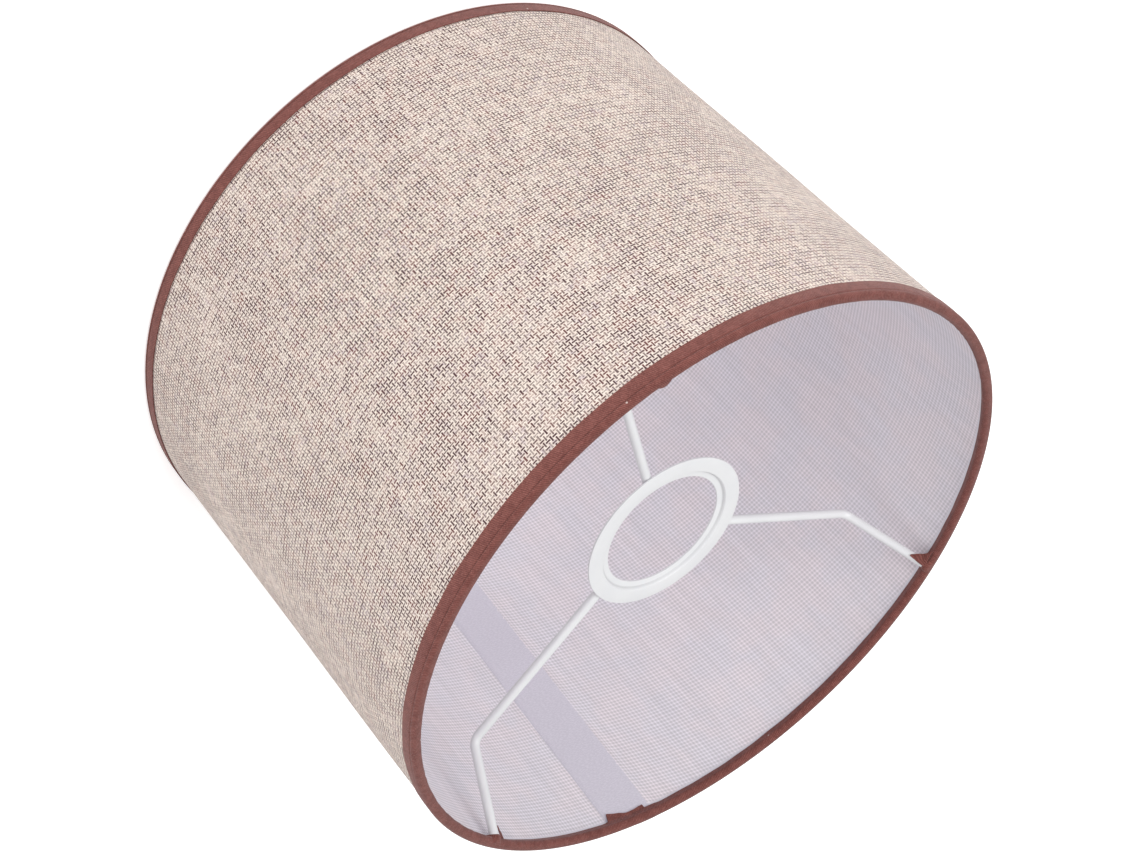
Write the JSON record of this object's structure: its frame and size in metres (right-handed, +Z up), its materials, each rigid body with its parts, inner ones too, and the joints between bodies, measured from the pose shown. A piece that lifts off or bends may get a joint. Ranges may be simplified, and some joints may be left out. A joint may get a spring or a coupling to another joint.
{
  "type": "drum lamp shade",
  "caption": "Straight drum lamp shade: woven cover on a stiff liner, taped rims over wire rings, and a recessed ring fitter held on bent wire arms.",
  "frame": {"origin": "centre of the plain rim, on the surface the shade stands on", "axes": "+Z up along the drum's axis, towards the fitter end; +X is 10.8 degrees short of spider_arm_1"},
  "size_m": [0.22, 0.22, 0.168],
  "materials": {
    "woven_cover": "matte heathered basket weave, cream and mauve-brown yarns",
    "liner_sheet": "matte white sheet with a fine crosshatch",
    "adhesive": "thin double-sided film",
    "rim_tape": "matte fine woven cotton tape, red-brown",
    "ring_wire": "plain drawn wire, hidden in the tape",
    "white_coat": "white powder coat, satin"
  },
  "bodies": {
    "root": {"outer_fabric": "woven_cover", "liner_panel": "liner_sheet", "seam_adhesive": "adhesive", "fitter_end_trim": "rim_tape", "plain_end_trim": "rim_tape", "fitter_end_ring": "ring_wire", "plain_end_ring": "ring_wire", "fitter_washer": "white_coat", "spider_arm_1": "white_coat", "spider_arm_2": "white_coat", "spider_arm_3": "white_coat"}
  },
  "joints": []
}
